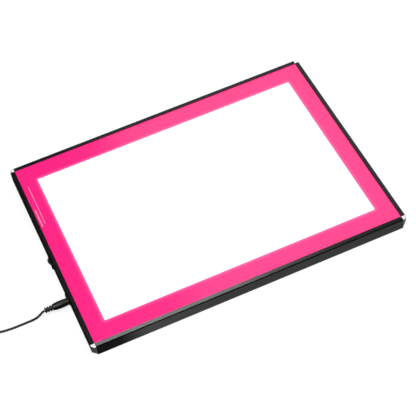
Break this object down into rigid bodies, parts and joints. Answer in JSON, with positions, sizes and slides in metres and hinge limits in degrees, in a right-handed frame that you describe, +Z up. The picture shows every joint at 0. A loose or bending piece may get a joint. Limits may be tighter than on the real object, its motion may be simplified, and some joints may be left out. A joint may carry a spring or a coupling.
{
  "type": "light box",
  "caption": "Slim edge-lit tracing light panel: black extruded frame with silver corner pieces, pink printed border, white lit window, side rocker switch and plugged-in DC lead.",
  "frame": {"origin": "on the table, under the middle of the panel's frame", "axes": "+X along the long side, to the right; the switch and the DC socket are in the short side at -X. +Y to the rear, +Z up out of the lit window"},
  "size_m": [0.682, 0.3726, 0.0279],
  "materials": {
    "black_anodised": "black anodised, satin",
    "satin_silver": "satin silver",
    "pink_print": "gloss hot-pink print",
    "opal_acrylic": "opal, glossy, lit from below",
    "diffuser_film": "matt white",
    "clear_acrylic": "clear, polished",
    "white_film": "matt white film",
    "white_foam": "closed-cell foam",
    "black_abs": "fine grain",
    "bare_aluminium": "mill finish",
    "white_circuit": "white solder mask",
    "green_circuit": "green solder mask",
    "component_black": "moulded",
    "switch_plastic": "satin moulded",
    "contact_metal": "plated",
    "plated_steel": "nickel plated",
    "foot_rubber": "matt",
    "lead_pvc": "soft satin PVC",
    "tie_fabric": "hook-and-loop weave",
    "wire_red": "insulation",
    "wire_black": "insulation",
    "adapter_shell": "fine spark texture"
  },
  "bodies": {
    "panel": {"front_rail": "black_anodised", "rear_rail": "black_anodised", "left_rail": "black_anodised", "right_rail": "black_anodised", "corner_connector_front_left": "satin_silver", "corner_screw_front_left_long": "plated_steel", "corner_screw_front_left_short": "plated_steel", "corner_connector_front_right": "satin_silver", "corner_screw_front_right_long": "plated_steel", "corner_screw_front_right_short": "plated_steel", "corner_connector_rear_right": "satin_silver", "corner_screw_rear_right_long": "plated_steel", "corner_screw_rear_right_short": "plated_steel", "corner_connector_rear_left": "satin_silver", "corner_screw_rear_left_long": "plated_steel", "corner_screw_rear_left_short": "plated_steel", "border_print": "pink_print", "cover_sheet": "opal_acrylic", "diffuser_sheet": "diffuser_film", "light_guide_plate": "clear_acrylic", "reflector_sheet": "white_film", "foam_pad": "white_foam", "back_panel": "black_abs", "front_led_strip": "white_circuit", "rear_led_strip": "white_circuit", "front_heat_spreader": "bare_aluminium", "rear_heat_spreader": "bare_aluminium", "left_spacer": "white_foam", "right_spacer": "white_foam", "switch_housing": "switch_plastic", "switch_terminal_common": "contact_metal", "switch_terminal_load": "contact_metal", "jack_surround": "switch_plastic", "jack_body": "component_black", "jack_pin": "plated_steel", "plug_overmould": "lead_pvc", "plug_barrel": "plated_steel", "driver_board": "green_circuit", "board_pad": "white_foam", "driver_inductor": "component_black", "wire_jack_to_switch": "wire_red", "wire_switch_to_board": "wire_red", "wire_jack_to_board": "wire_black", "wire_board_to_front_strip": "wire_black", "wire_board_to_rear_strip": "wire_red", "foot_front_left": "foot_rubber", "foot_front_right": "foot_rubber", "foot_rear_right": "foot_rubber", "foot_rear_left": "foot_rubber", "cord_run": "lead_pvc", "cord_tail": "lead_pvc", "cord_coil": "lead_pvc", "cord_tie": "tie_fabric", "adapter_shell": "adapter_shell", "adapter_strain_relief": "lead_pvc", "adapter_pin_1": "contact_metal", "adapter_pin_2": "contact_metal"},
    "rocker": {"switch_rocker": "switch_plastic", "switch_plunger": "contact_metal"},
    "contact_blade": {"switch_contact_blade": "contact_metal"}
  },
  "joints": [
    {"name": "rocker_tilt", "type": "hinge", "parent": "panel", "child": "rocker", "pos_m": [-0.2461, -0.0092, 0.0116], "axis": [0, 0, 1], "range_deg": [-19, 0]},
    {"name": "blade_tilt", "type": "hinge", "parent": "panel", "child": "contact_blade", "pos_m": [-0.2403, -0.0092, 0.0116], "axis": [0, 0, 1], "range_deg": [0, 12]}
  ],
  "couplings": [
    {"joint": "blade_tilt", "follows": "rocker_tilt", "ratio": -0.6316}
  ]
}
